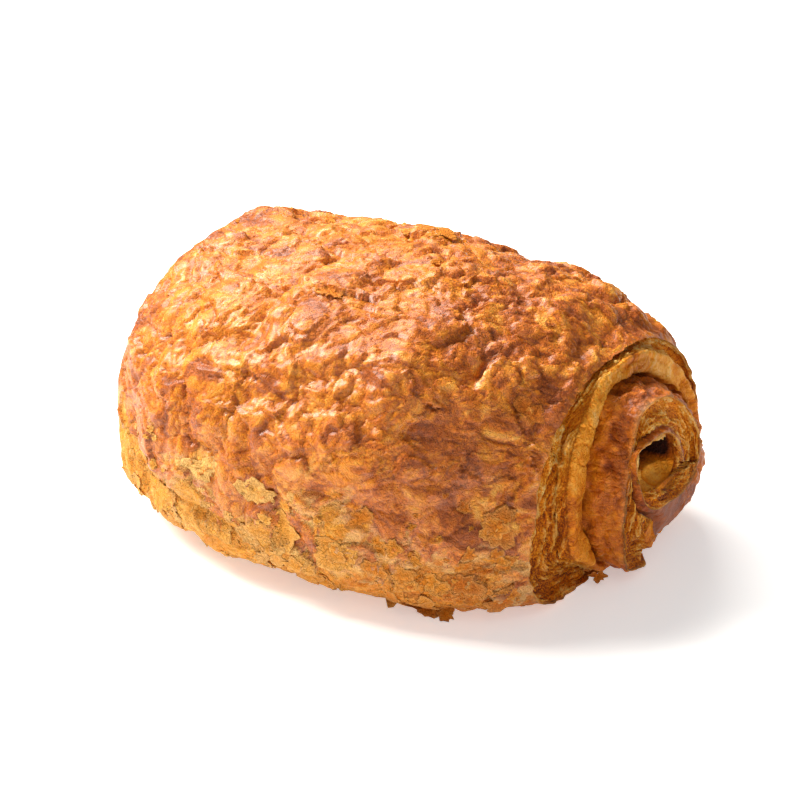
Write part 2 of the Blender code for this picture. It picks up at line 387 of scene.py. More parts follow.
# Colour of the flakes, darker toward the near end partly as painted shade
FLAKE_BAKE = 0.03
FLAKE_BAKE_SPREAD = 0.22
FLAKE_BAKE_HIGH = 0.24
FLAKE_NEAR_SHADE_AND_BAKE = 0.36
FLAKE_BAKE_EDGE = -0.04
FLAKE_HIGH_RANGE = (20.0, 40.0)
FLAKE_NEAR_RANGE = (-12.0, 44.0)
FLAKE_TORN = 0.6
FLAKE_TORN_HIGH = 0.6
FLAKE_RUST = 0.22
FLAKE_RUST_SPREAD = 0.35
FLAKE_GLOSS = 0.1

# Loose scraps at the foot of the roll: place and size
SHARDS = ((18.0, -30.0, 2.4, 4.0), (24.6, -29.6, 1.3, 3.0),
          (29.0, -28.8, 0.7, 1.8), (47.6, -3.6, 2.6, 1.5))
SHARD_NORMAL = (0.3, -0.6, 0.8)
GROUND_GAP = 0.05

# Colours of the dough from unbaked to burnt, of its torn edges and of its rust-red parts
BAKE_COLOURS = ((0.0, (248, 196, 114)), (0.2, (244, 168, 60)), (0.4, (230, 136, 18)),
                (0.6, (204, 106, 8)), (0.8, (148, 66, 6)), (1.0, (52, 18, 5)))
TORN_COLOUR = (240, 200, 128)
TORN_STRENGTH = 0.6
RUST_COLOUR = (168, 84, 28)
RUST_STRENGTH = 0.6

# Fine mottle and crumb of the colour, and how strongly they show on plain and on torn dough
# The first field holds the dough's bake together with the painted light and shade laid into it
FIELDS = ("bake_and_shade", "torn", "gloss", "rust", "fibre", "grain")
NOISE_MIDDLE = 0.5
MOTTLE = {"Scale": 1.1, "Detail": 5.0, "Roughness": 0.7}
MOTTLE_PLAIN = 0.42
MOTTLE_TORN = 0.7
CRUMB = {"Scale": 2300.0, "Detail": 2.0}
CRUMB_TONE = 1.1

# Shine and soft inner light of the dough
DULL_ROUGHNESS = 0.70
WASHED_ROUGHNESS = 0.50
COAT = 0.75
COAT_ROUGHNESS = 0.38
SPECULAR = 0.15
DOUGH_SOFTNESS = 0.12
FLAKE_SOFTNESS = 0.0
SOFT_RADIUS = (0.004, 0.0018, 0.0007)

# Fine grain of the surface
GRAIN = {"Scale": 1.3, "Detail": 4.0, "Roughness": 0.6, "Lacunarity": 2.1,
         "Offset": 0.9, "Gain": 1.6, "Distortion": 0.6}
GRAIN_CRUMB = 2.0
GRAIN_DEEP = 0.00022

# Camera, in metres
VIEW_AZIMUTH = 33.6
VIEW_ELEVATION = 26.8
VIEW_DISTANCE = 0.545
LENS = 122.6
SENSOR = 36.0
AIM = (-0.00115, 0.00392, 0.022)
AIM_RIGHT = -0.0017
AIM_UP = 0.0017

# Lights, placed from the aim along the camera's axes in metres, with size, watts and colour
Light = namedtuple("Light", "name right up back size power colour")
LIGHTS = (
    Light("key", -0.60, 0.70, 0.10, 0.40, 16.0, (1.0, 0.96, 0.89)),
    Light("sheen", -0.20, 0.90, -0.20, 0.50, 7.5, (1.0, 0.97, 0.91)),
    Light("fill", 0.20, 0.20, 0.90, 0.70, 1.8, (1.0, 1.0, 1.0)),
)
WHITE = (1.0, 1.0, 1.0, 1.0)
ROOM_GLOW = 0.24

# Floor
FLOOR_HALF = 3.0
FLOOR_COLOUR = (0.92, 0.92, 0.92, 1.0)
FLOOR_ROUGHNESS = 0.9
FLOOR_GLOW = 0.38


def ease(low, high, value):
    """Smooth step from 0 at low to 1 at high."""
    share = np.clip((value - low) / (high - low), 0.0, 1.0)
    return share * share * (3.0 - 2.0 * share)


def bump(value, centre, spread):
    """Smooth hump of height 1 at the centre."""
    return np.exp(-((value - centre) / spread) ** 2)


def superellipse(angle, right, left, up, down, crown, foot):
    """Radius at an angle of a rounded box with its own reach to each side."""
    across = np.where(np.cos(angle) >= 0.0, right, left)
    tall = np.where(np.sin(angle) >= 0.0, up, down)
    power = np.where(np.sin(angle) >= 0.0, crown, foot)
    shares = np.abs(np.cos(angle) / across) ** power + np.abs(np.sin(angle) / tall) ** power
    return shares ** (-1.0 / power)


def barrel(x, angle):
    """Point of the crust at a place along the roll and an angle round it."""
    place = x / (LENGTH / 2)
    taper = np.abs(place) ** TAPER_POWER
    ends = [np.where(place > 0, front, back) for front, back in (
        (FRONT.width, BACK.width), (FRONT.height, BACK.height),
        (FRONT.middle_y, BACK.middle_y), (FRONT.foot_lift, BACK.foot_lift))]
    half_width = HALF_WIDTH * (1 - taper * (1 - ends[0]))
    height = HEIGHT * (1 - taper * (1 - ends[1]))
    waist = WAIST_SHARE * height
    radius = superellipse(angle, half_width, half_width, height - waist, waist,
                          CROWN_POWER, FOOT_POWER)
    y = MIDDLE_Y * (1 - taper) + ends[2] * taper + radius * np.cos(angle)
    z = waist + radius * np.sin(angle)
    lift = ends[3] * taper * ease(waist, 0.0, z)
    return y, z + lift


def edge(end, turn):
    """Reach and place of the outer edge of the sheet as it winds inward from the rim."""
    angle = SEAM - 2 * np.pi * turn
    rim_y, rim_z = barrel(np.full_like(turn, end.side * LENGTH / 2), angle)
    near = np.interp(turn, (1 + NEAR_TURN, 2 + NEAR_TURN), end.near)
    top = np.interp(turn, (1 + TOP_TURN, 2 + TOP_TURN), end.top)
    far = np.interp(turn, (1 + FAR_TURN, 2 + FAR_TURN), end.far)
    foot = np.interp(turn, (1 + FOOT_TURN, 2 + FOOT_TURN), end.foot)
    centre_y = np.interp(turn, (1.0, 2.0), end.centre_y)
    centre_z = np.interp(turn, (1.0, 2.0), end.centre_z)
    tilt = np.interp(turn, TILT_TURNS, end.tilt)
    power = np.where(np.cos(angle) >= 0.0, FAR_POWER, NEAR_POWER)
    radius = superellipse(angle, far - centre_y, centre_y - near,
                          top - centre_z, centre_z - foot, power, power)
    coil_z = centre_z + radius * np.sin(angle)
    coil_y = centre_y + radius * np.cos(angle) - tilt * (coil_z - centre_z)
    inward = ease(1.0, 1.0 + SEAM_REACH, turn)
    y = rim_y + (coil_y - rim_y) * inward
    z = rim_z + (coil_z - rim_z) * inward
    seam_reach = SEAM_SHARE * end.reach[0]
    by_seam = np.maximum(ease(SEAM_AFTER, 0.0, turn), ease(SEAM_BEFORE, 1.0, turn))
    rim_reach = seam_reach * by_seam + end.far_reach * bump(turn, FAR_TURN, FAR_SPREAD)
    coil_reach = np.interp(turn, (COIL_START, 2.0), end.reach)
    coil_reach = seam_reach + (coil_reach - seam_reach) * ease(STEP_FROM, STEP_TO, turn)
    return np.where(turn <= 1.0, rim_reach, coil_reach), y, z


def band(end, turn, share):
    """Reach and place of a point between one turn of the edge and the next one inward."""
    outer = edge(end, turn)
    inner = edge(end, turn + 1.0)
    y = outer[1] + (inner[1] - outer[1]) * share
    z = outer[2] + (inner[2] - outer[2]) * share
    start = np.interp(turn, RIDGE_TURNS, RIDGE_FROM)
    stop = np.interp(turn, RIDGE_TURNS, RIDGE_TO)
    wall = (share - stop) / (1 - stop)
    across = (share - (start + stop) / 2) / ((stop - start) / 2 + RIDGE_SOFT)
    raised = np.sqrt(np.clip(1.0 - np.abs(across) ** RIDGE_POWER, 0.0, 1.0))
    cut = share / start
    hollow = end.hollow * ease(0.0, HOLLOW_RISE, cut) * ease(HOLLOW_END, HOLLOW_FALL, cut)
    sunk = ease(0.0, GROOVE_DEEP, wall) * ease(GROOVE_END, GROOVE_DEEP, wall)
    ridge = end.ridge * np.interp(turn, RIDGE_TURNS, RIDGE_SIZE) * raised
    groove = end.groove * np.interp(turn, RIDGE_TURNS, GROOVE_SIZE) * sunk
    width = np.hypot(inner[1] - outer[1], inner[2] - outer[2])
    flat_wall = ease(WALL_START, 1.0, wall)
    round_wall = np.sqrt(1 - (1 - np.clip(wall, 0.0, 1.0)) ** 2)
    roundness = sum(bump(turn, place, spread) for place, spread in ROUND_TURNS)
    rise = (inner[0] - outer[0]) * (flat_wall + (round_wall - flat_wall) * roundness)
    return outer[0] + rise + (ridge - groove - hollow) * ease(0.0, FULL_WIDTH, width), y, z


def mouth(end, y, z, share):
    """How far inside the slot a point of the core lies, and how high in it."""
    across = (y - end.mouth_y) / end.mouth_width
    tall = (z - end.mouth_z - MOUTH_SLOPE * (y - end.mouth_y)) / end.mouth_height
    spread = np.abs(across) ** MOUTH_POWER + np.abs(tall) ** MOUTH_POWER
    inside = ease(1.0, MOUTH_SOFT, spread ** (1.0 / MOUTH_POWER)) * ease(MOUTH_LIP, MOUTH_FULL, share)
    return inside, tall


def core(end, y, z, reach, share):
    """Reach of the folded middle, with a slot and the tongue of dough inside it."""
    inside, tall = mouth(end, y, z, share)
    tongue = end.tongue * ease(TONGUE_TOP, TONGUE_BASE, tall)
    return reach - (end.mouth_depth - tongue) * inside


def lattice_noise(points, size, seed):
    """Smooth seeded noise from about -1 to 1 whose lumps measure about the given size."""
    knots = np.random.RandomState(seed).uniform(-1.0, 1.0, (LATTICE,) * 3)
    spot = points / size + OFFSET
    whole = np.floor(spot).astype(int)
    part = spot - whole
    part = part ** 3 * (part * (part * 6.0 - 15.0) + 10.0)
    total = np.zeros(len(points))
    for corner in product((0, 1), repeat=3):
        at = (whole + corner) % LATTICE
        weight = np.prod(np.where(corner, part, 1.0 - part), axis=1)
        total += weight * knots[at[:, 0], at[:, 1], at[:, 2]]
    return total


def settle(points, crust):
    """Give the plain form its baked irregularity: puffs, leaning turns and a flat base."""
    drift = [lattice_noise(points, DRIFT_SIZE, seed) for seed in DRIFT_SEEDS]
    moved = points + DRIFT * np.stack(drift, -1)
    outward = moved * (0.0, 1.0, 1.0) - (0.0, MIDDLE_Y, WAIST_SHARE * HEIGHT)
    outward /= np.linalg.norm(outward, axis=1, keepdims=True)
    puffs = sum(size * (np.abs(lattice_noise(points, spread, seed)) - PUFF_MEAN)
                for size, spread, seed in PUFFS)
    moved += outward * (puffs * crust * ease(0.0, FOOT_FADE, moved[:, 2]))[:, None]
    moved[:, 2] = np.maximum(moved[:, 2] - BASE_SINK, 0.0)
    moved[:, :2] -= (CENTRE_X, CENTRE_Y)
    return moved


def cloud(points, size, seed, octaves):
    """Several finer and finer noises added up."""
    total = np.zeros(len(points))
    weight = 1.0
    for octave in range(octaves):
        total += weight * lattice_noise(points, size / 2 ** octave, seed + octave)
        weight *= OCTAVE_FADE
    return total


def lumps(points, size, seed):
    """Rounded puffs parted by sharp creases, from 0 to about 1."""
    return np.sqrt(np.abs(lattice_noise(points, size, seed)) + CREASE_SOFT)


def add_piece(name, points, quads, fields, grain, material):
    """Make a smooth-shaded mesh piece of the faces given, with named values at its points."""
    used, places = np.unique(quads, return_inverse=True)
    faces = []
    for quad in places.reshape(quads.shape).tolist():
        face = [corner for at, corner in enumerate(quad) if corner != quad[at - 1]]
        if len(face) > 2:
            faces.append(face)
    mesh = bpy.data.meshes.new(name)
    mesh.from_pydata((points[used] * MM).tolist(), [], faces)
    mesh.shade_smooth()
    for field, values in fields.items():
        layer = mesh.attributes.new(field, "FLOAT", "POINT")
        layer.data.foreach_set("value", np.asarray(values[used], dtype=np.float32))
    layer = mesh.attributes.new("grain", "FLOAT_VECTOR", "POINT")
    layer.data.foreach_set("vector", np.asarray(grain[used], dtype=np.float32).ravel())
    mesh.materials.append(material)
    piece = bpy.data.objects.new(name, mesh)
    bpy.context.scene.collection.objects.link(piece)
    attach(piece, "root")
    return piece


def fray(end, turn):
    """Ragged in and out of the torn edge of the sheet as it winds."""
    spot = np.stack([turn * FRAY_PACE, np.full_like(turn, end.side), np.zeros_like(turn)], -1)
    ragged = sum(reach * lattice_noise(spot, size, seed) for size, seed, reach in FRAYS)
    quiet = 1.0 - sum(bump(turn, place, spread) for place, spread in FRAY_QUIET)
    return ragged * quiet * ease(*FRAY_RANGE, turn)


def crust_rows():
    """Places along the roll of the rings of points of the crust."""
    count = int(LENGTH / ROW_STEP)
    return np.linspace(-LENGTH / 2, LENGTH / 2, count + 1)


def plain_crust(places):
    """Rings of the crust before any relief, with the rims where the ends begin."""
    turns = np.arange(SPOKES) / SPOKES
    angles = SEAM - 2 * np.pi * turns
    rims = [(end, edge(end, turns)[0], fray(end, turns)) for end in (FRONT, BACK)]
    rings = []
    for place in places:
        y, z = barrel(np.full_like(angles, place), angles)
        x = np.full_like(angles, place)
        for end, reach, ragged in rims:
            gap = LENGTH / 2 - end.side * place
            x = x + end.side * (reach * ease(RIM_FADE, 0.0, gap) + ragged * ease(FRAY_INLAND, 0.0, gap))
        rings.append(np.stack([x, y, z], -1))
    return np.concatenate(rings)


def facets(points, size, seed):
    """Plates of about the given size: the height of their tilt, their tone and the gap to a border."""
    random = np.random.RandomState(seed)
    middles = random.uniform(0.0, 1.0, (LATTICE,) * 3 + (3,))
    tilts = random.uniform(-1.0, 1.0, (LATTICE,) * 3 + (3,))
    tones = random.uniform(-1.0, 1.0, (LATTICE,) * 3)
    spot = points / size + OFFSET
    whole = np.floor(spot).astype(int)
    first = np.full(len(points), np.inf)
    second = np.full(len(points), np.inf)
    height = np.zeros(len(points))
    tone = np.zeros(len(points))
    for corner in product((-1, 0, 1), repeat=3):
        cell = whole + corner
        at = tuple((cell % LATTICE).T)
        away = spot - cell - middles[at]
        far = np.einsum("ij,ij->i", away, away)
        nearer = far < first
        second = np.where(nearer, first, np.minimum(second, far))
        first = np.where(nearer, far, first)
        height = np.where(nearer, np.einsum("ij,ij->i", away, tilts[at]), height)
        tone = np.where(nearer, tones[at], tone)
    return height, tone, np.sqrt(second) - np.sqrt(first)


def crumple(points, crumples):
    """Points pushed about by noise, so that patterns read from them look crumpled."""
    for size, amount, seed in crumples:
        push = [lattice_noise(points, size, seed + at) for at in range(3)]
        points = points + amount * np.stack(push, -1)
    return points


def wrinkled(points, wrinkles):
    """Depth of several sizes of wrinkle added up, each with sharp creases and sharp crests."""
    total = np.zeros(len(points))
    for size, seed, depth in wrinkles:
        crests = np.abs(lattice_noise(points, size, seed + CREST_SEED))
        total += depth * (CREASE_SHARE * lumps(points, size, seed) - CREST_SHARE * crests - WRINKLE_MEAN)
    return total


def plates(points):
    """Tilt, tone and borders of the flat plates of the crust, all sizes added up."""
    tilts = np.zeros(len(points))
    tones = np.zeros(len(points))
    borders = np.zeros(len(points))
    for size, seed, tilt, share in FACETS:
        level, tone, gap = facets(points, size, seed)
        tilts += tilt * level
        tones += share * tone
        borders = np.maximum(borders, bump(gap, 0.0, BORDER_WIDTH / size))
    return tilts, tones, borders


def dress_crust(points, normals, places):
    """Fine relief of the crust and the values that colour it."""
    height = points[:, 2]
    drift = lattice_noise(points, *WANDER)
    top = ease(*TOP_RANGE, height + TOP_WANDER * drift)
    low = ease(*LOW_RANGE, height + LOW_WANDER * drift)
    near = ease(*NEAR_RANGE, points[:, 0])
    creased = crumple(points, CRUST_CRUMPLES)
    patch = ease(*PATCH_RANGE, cloud(creased, *PATCHES))
    fleck = cloud(creased, *FLECKS)
    wrinkles = wrinkled(creased, CRUST_WRINKLES)
    tilts, tones, borders = plates(creased)

    wash = (height - WASH_HEIGHT) / WASH_SPREAD + WASH_WANDER * drift + WASH_NEAR * near
    wash += WASH_PLATES * tones
    washed = ease(*WASH_RANGE, wash)
    hem = bump(wash, *HEM)

    relief = wrinkles * (PLAIN_RELIEF + PATCH_RELIEF * patch) * (1.0 - LOW_CALM * low)
    relief += tilts * (PLATE_LOW + (1.0 - PLATE_LOW) * top)
    relief += SKIN_THICK * washed - BORDER_DEEP * borders
    relief *= ease(*RIM_RANGE, LENGTH / 2 - np.abs(places)) * ease(*FOOT_RANGE, height)

    # The wrinkle term paints highlight on puffs and shade in creases
    bake_and_shade = DOUGH_BAKE + WASH_BAKE * washed + TONE_BAKE * tones + WRINKLE_PAINTED_LIGHT * wrinkles
    bake_and_shade += PATCH_BAKE * patch * (PATCH_UNWASHED + (1.0 - PATCH_UNWASHED) * washed)
    bake_and_shade += (FLECK_BAKE + FLECK_NEAR_BAKE * near) * fleck
    # Darker toward the near end, partly painted shade, less so on washed skin
    bake_and_shade += (NEAR_SHADE_AND_BAKE + NEAR_WASH_SHADE_AND_BAKE * washed) * near
    # Painted shade in the crease lines between washed plates
    bake_and_shade += CLOUD_BAKE * cloud(points, *CLOUDS) + BORDER_PAINTED_SHADE * borders * washed
    skin = SKIN_BAKE + SKIN_REACH * np.tanh(SKIN_GAIN * (bake_and_shade - SKIN_BAKE) / SKIN_REACH)
    dull = DOUGH_GLOSS + (1.0 - DOUGH_GLOSS) * washed
    fields = {
        "bake_and_shade": bake_and_shade + washed * (skin - bake_and_shade),
        "torn": HEM_TORN * hem * (1.0 - HEM_TOP * top) + BORDER_TORN * borders * (1.0 - washed),
        "gloss": dull * (DULL_GLOSS + (1.0 - DULL_GLOSS) * ease(*GLOSS_RANGE, fleck)),
        "rust": PATCH_RUST * patch * washed + DOUGH_RUST * (1.0 - washed) * (1.0 - patch),
        "fibre": np.zeros(len(points)),
    }
    return points + normals * relief[:, None], fields


def build_crust(material):
    """The long crust in two halves that meet in the middle."""
    places = crust_rows()
    along = np.repeat(places, SPOKES)
    crust = ease(0.0, RIM_FADE, LENGTH / 2 - np.abs(along))
    points = settle(plain_crust(places), crust)
    rings = len(places)
    grid = np.arange(rings * SPOKES).reshape(rings, SPOKES)
    ahead = np.roll(grid, -1, axis=1)
    quads = np.stack([grid[:-1], grid[1:], ahead[1:], ahead[:-1]], -1).reshape(-1, 4)
    normals = grid_normals(points, quads)
    points, fields = dress_crust(points, normals, along)
    points[:, 2] = np.maximum(points[:, 2], 0.0)
    middle = rings // 2 * SPOKES
    for name, half in (("crust_far", quads[:middle]), ("crust_near", quads[middle:])):
        piece = add_piece(name, points, half, fields, points, material)
        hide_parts("pastry")
    return points, quads, normals


def grid_normals(points, quads):
    """Area-weighted outward normal at every point."""
    a, b, c, d = (points[quads[:, at]] for at in range(4))
    crossed = np.cross(c - a, d - b)
    total = np.zeros_like(points)
    for at in range(4):
        for axis in range(3):
            total[:, axis] += np.bincount(quads[:, at], crossed[:, axis], len(points))
    return total / (np.linalg.norm(total, axis=1, keepdims=True) + 1e-12)


def even_shares(spots, weight, steps):
    """Shares of the way down each column of spots, spread by the distance walked over them."""
    tries = np.linspace(0.0, 1.0, len(spots))
    effort = np.linalg.norm(np.diff(spots, axis=0), axis=-1) * weight
    effort = np.concatenate([np.zeros((1, spots.shape[1])), np.cumsum(effort, axis=0)])
    shares = np.empty((steps + 1, spots.shape[1]))
    for column in range(spots.shape[1]):
        wanted = np.linspace(0.0, effort[-1, column], steps + 1)
        shares[:, column] = np.interp(wanted, effort[:, column], tries)
    return shares


def band_shares(end, turns, steps):
    """Places of the mesh steps across the band, fewer on the smooth wall."""
    tries = np.linspace(0.0, 1.0, WALK_TRIES)[:, None]
    wide = np.broadcast_to(turns, (WALK_TRIES, len(turns)))
    spots = np.stack(band(end, wide, np.broadcast_to(tries, wide.shape)), -1)
    smooth = tries[1:] > np.interp(turns, RIDGE_TURNS, RIDGE_TO)
    return even_shares(spots, np.where(smooth, WALL_EFFORT, 1.0), steps)


def core_spots(end, border, part):
    """Reach and place of points of the core, a share of the way from its border to its middle."""
    reach, y, z = border
    ring_y = y + (end.core_y - y) * part
    ring_z = z + (end.core_z - z) * part
    level = reach + (end.reach[1] - reach) * ease(0.0, LEVEL_SHARE, part)
    return core(end, ring_y, ring_z, level, part), ring_y, ring_z


def core_shares(end, border, rings):
    """Places of the mesh rings of the core."""
    tries = np.linspace(0.0, 1.0, WALK_TRIES)[:, None]
    spots = np.stack(core_spots(end, border, np.broadcast_to(tries, (WALK_TRIES, len(border[0])))), -1)
    return even_shares(spots, 1.0, rings)


def surface_walk(rows, first):
    """Distance walked over the surface from the first point of each column to each row."""
    steps = np.diff(np.concatenate([first[None], rows]), axis=0)
    return np.cumsum(np.linalg.norm(steps, axis=-1), axis=0)


def edge_index(at):
    """Number of a point of the sheet's edge, where one whole turn comes back to the first point."""
    at = np.asarray(at)
    return np.where(at < SPOKES, at, at - 1) * (at != SPOKES)


def wind_band(end, turns, steps):
    """Rows of reach, y, z, turn, share and depth of the points of the band, and their numbers."""
    last = len(turns) - 1 - SPOKES
    edges = np.stack(edge(end, turns), -1)
    shares = band_shares(end, turns[1:last + 1], steps)[1:-1]
    wide = np.broadcast_to(turns[1:last + 1], shares.shape)
    spots = np.stack(band(end, wide, shares), -1)
    depth = surface_walk(spots, edges[1:last + 1])
    flat = np.zeros_like(turns)
    edge_rows = np.column_stack([edges, turns, flat, flat])[np.arange(len(turns)) != SPOKES]
    band_rows = np.concatenate([spots, np.stack([wide, shares, depth], -1)], -1)
    band_rows = band_rows.transpose(1, 0, 2).reshape(last * (steps - 1), -1)
    index = np.zeros((last + 1, steps + 1), dtype=int)
    index[1:, 0] = edge_index(np.arange(1, last + 1))
    index[1:, 1:steps] = len(edge_rows) + np.arange(len(band_rows)).reshape(last, steps - 1)
    index[1:, steps] = edge_index(np.arange(1, last + 1) + SPOKES)
    return np.concatenate([edge_rows, band_rows]), index


def close_core(end, turns, rows, index, rings):
    """Rows and faces of the rings of points that close the folded middle."""
    last, steps = np.array(index.shape) - 1
    inner_edge = edge_index(np.arange(last, last + SPOKES + 1))
    before = np.concatenate([inner_edge, index[last, steps - 1:0:-1]])
    loop_turn = np.concatenate([turns[last:], np.full(steps - 1, TURNS)])
    border = rows[before, :3].T
    middle = np.hypot(end.core_y - border[1], end.core_z - border[2])
    ahead = np.roll(np.arange(len(before)), -1)
    total = len(rows)
    core_rows = []
    quads = []
    for part in core_shares(end, border, rings)[1:]:
        now = total + np.arange(len(before))
        if part.min() == 1.0:
            now = np.full(len(before), total)
        size = len(np.unique(now))
        spots = core_spots(end, border, part)
        core_rows.append(np.column_stack([*spots, loop_turn, part, middle * part])[:size])
        quads.append(np.stack([before, before[ahead], now[ahead], now], -1))
        total += size
        before = now
    return np.concatenate(core_rows), np.concatenate(quads)


def build_end(end, names, steps, rings, material):
    """One dressed spiral end, built like the solid's but much finer."""
    last = int(round((TURNS - 1.0) * SPOKES))
    turns = np.arange(last + SPOKES + 1) / SPOKES
    rows, index = wind_band(end, turns, steps)
    quads = np.stack([index[:-1, :-1], index[1:, :-1], index[1:, 1:], index[:-1, 1:]], -1)
    core_rows, core_quads = close_core(end, turns, rows, index, rings)
    is_core = np.arange(len(rows) + len(core_rows)) >= len(rows)
    reach, y, z, turn, share, depth = np.concatenate([rows, core_rows]).T
    quads = np.concatenate([quads.reshape(-1, 4), core_quads])
    if end.side > 0:
        quads = quads[:, ::-1]

    outer = np.where(is_core, 0.0, ease(FRAY_OUTER, 0.0, share))
    inner = np.where(is_core, 0.0, ease(FRAY_INNER, 1.0, share))
    ragged = fray(end, turn) * outer + fray(end, turn + 1.0) * inner
    plain = np.stack([end.side * (LENGTH / 2 + reach + ragged), y, z], -1)
    points = settle(plain, np.zeros(len(plain)))
    normals = grid_normals(points, quads)
    edge_y, edge_z = edge(end, turns)[1:]
    walked = np.concatenate([[0.0], np.cumsum(np.hypot(np.diff(edge_y), np.diff(edge_z)))])
    along = np.interp(turn, turns, walked)
    points, fields, grain = dress_end(end, points, normals, plain, turn, share, depth, along, is_core)
    points[:, 2] = np.maximum(points[:, 2], 0.0)
    split = SPOKES * steps if len(names) > 1 else 0
    for name, faces in zip(names[::-1], (quads[split:], quads[:split])):
        piece = add_piece(name, points, faces, fields, grain, material)
        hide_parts("pastry")
    return points, quads, normals


def end_zones(end, plain, turn, share, is_core):
    """How much of each zone of a spiral end lies at every point, from 0 to 1."""
    start = np.interp(turn, RIDGE_TURNS, RIDGE_FROM)
    stop = np.interp(turn, RIDGE_TURNS, RIDGE_TO)
    wall = np.where(is_core, 0.0, np.clip((share - stop) / (1 - stop), 0.0, 1.0))
    cut = ease(start + CUT_SOFT[0], start + CUT_SOFT[1], share)
    cut = np.where(turn > COIL_TURN, ease(*COIL_CUT, wall), cut)
    inside, tall = mouth(end, plain[:, 1], plain[:, 2], share)
    inside = ease(0.0, SLOT_RIM, inside) * is_core
    slot = inside * ease(TONGUE_BASE, TONGUE_TOP, tall)
    cut = np.where(is_core, ease(CORE_CUT, 0.0, inside), cut)
    smooth_band = (1.0 - cut) * ~is_core
    valley = smooth_band * ease(0.0, WALL_SIDE, wall)
    hub = ease(*HUB_RANGE, share) * is_core
    slope = share / start
    return Zones(
        cut=cut * (1.0 - HUB_SMOOTH * hub), ridge=smooth_band * ease(WALL_SIDE, 0.0, wall),
        valley=valley, corner=valley * ease(*CORNER_SHADE_RANGE, wall),
        under=valley * bump(turn, *UNDER), slot=slot, tongue=inside - slot,
        slope=ease(*SLOPE_RISE, slope) * ease(*SLOPE_FALL, slope) * (turn < 1.0) * ~is_core)


def dress_end(end, points, normals, plain, turn, share, depth, along, is_core):
    """Torn layers on the cut faces, smooth dough on the ridges and walls."""
    zone = end_zones(end, plain, turn, share, is_core)
    layers, grain = layer_relief(depth, along)
    creased = crumple(points, DOUGH_CRUMPLES)
    wrinkles = wrinkled(creased, DOUGH_WRINKLES)
    across = np.stack([along, depth, plain[:, 0]], -1) / CRACK_SPACING
    crack_noise = lattice_noise(crumple(across, CRACK_CRUMPLES), 1.0, CRACK_SEED)
    cracks = bump(crack_noise, 0.0, CRACK_WIDTH)
    # Creases across the tongue, sunk in the relief and darkened with painted shade
    pleats = sum(bump(plain[:, 1], end.mouth_y + place, PLEAT_WIDTH) for place in TONGUE_PLEATS)

    relief = zone.cut * (LAYER_RELIEF * layers - LAYER_SINK) + SLOPE_RELIEF * zone.slope
    relief += zone.ridge * (RIDGE_RELIEF * wrinkles - CRACK_RELIEF * cracks)
    relief += VALLEY_RELIEF * zone.valley * wrinkles * (1.0 - UNDER_CALM * zone.under)
    relief += zone.tongue * (TONGUE_RELIEF * wrinkles - PLEAT_DEEP * pleats)
    relief -= CORE_SINK * (1.0 - zone.cut) * is_core + SLOT_SINK * zone.slot
    relief *= 1.0 - STEP_CALM * bump(turn, *STEP)
    relief *= np.where(is_core | (turn < INNER_TURN), 1.0, INNER_CALM)
    relief *= np.where(is_core, 1.0, ease(0.0, LIP_OUTER, share) * ease(1.0, LIP_INNER, share))

    clouds = cloud(points, *END_CLOUDS)
    patches = cloud(creased, *END_PATCHES)
    # high is painted light rising toward the top of the near end, and a fixed painted shade on the far
    # end
    high = ease(*PAINTED_LIGHT_RANGE, plain[:, 2]) if end.side > 0 else FAR_PAINTED_SHADE
    # Painted shade in the gaps between torn layers
    bake_and_shade = END_BAKE + END_CLOUD_BAKE * clouds + zone.cut * LAYER_PAINTED_SHADE * (LAYER_MIDDLE - layers)
    # Painted shade in the cracks across the ridge
    bake_and_shade += zone.ridge * (RIDGE_BAKE + RIDGE_PATCH_BAKE * patches + CRACK_PAINTED_SHADE * cracks)
    # Painted shade in the valley's deep corner
    bake_and_shade += zone.valley * (VALLEY_BAKE + VALLEY_PATCH_BAKE * patches) + CORNER_PAINTED_SHADE * zone.corner
    bake_and_shade += (CUT_PAINTED_LIGHT * zone.cut + RIDGE_PAINTED_LIGHT * zone.ridge) * high
    # Painted shade in the slot
    bake_and_shade += SLOT_PAINTED_SHADE * zone.slot + zone.tongue * (PLEAT_PAINTED_SHADE * pleats + TONGUE_BAKE)
    # Painted highlight and shade on the smooth dough's wrinkles, and painted shade on the downward face
    # below the core
    bake_and_shade += SMOOTH_PAINTED_LIGHT * wrinkles * (1.0 - zone.cut) + UNDER_PAINTED_SHADE * zone.under
    torn_layers = LAYER_TORN * zone.cut * ease(*LAYER_TORN_RANGE, layers)
    edges = sum(bump(share, place, spread) for place, spread in EDGE_LINES) * ~is_core
    # Below the core the rust tint is painted shade; on the ridges it is the dough's own tint
    rust = zone.under + RIDGE_RUST * zone.ridge * ease(*RIDGE_RUST_RANGE, clouds)
    fields = {
        "bake_and_shade": bake_and_shade,
        "torn": np.clip(torn_layers + EDGE_TORN * edges, 0.0, 1.0),
        "gloss": VALLEY_GLOSS * zone.valley + RIDGE_GLOSS * zone.ridge,
        # No rust tint inside the slot's painted shade
        "rust": np.clip(rust, 0.0, 1.0) * (1.0 - zone.slot),
        "fibre": np.clip(zone.cut + RIDGE_FIBRE * zone.ridge, 0.0, 1.0),
    }
    grain = np.where(zone.cut[:, None] > FIBRE_GRAIN_FROM, grain, points)
    return points + normals * relief[:, None], fields, grain


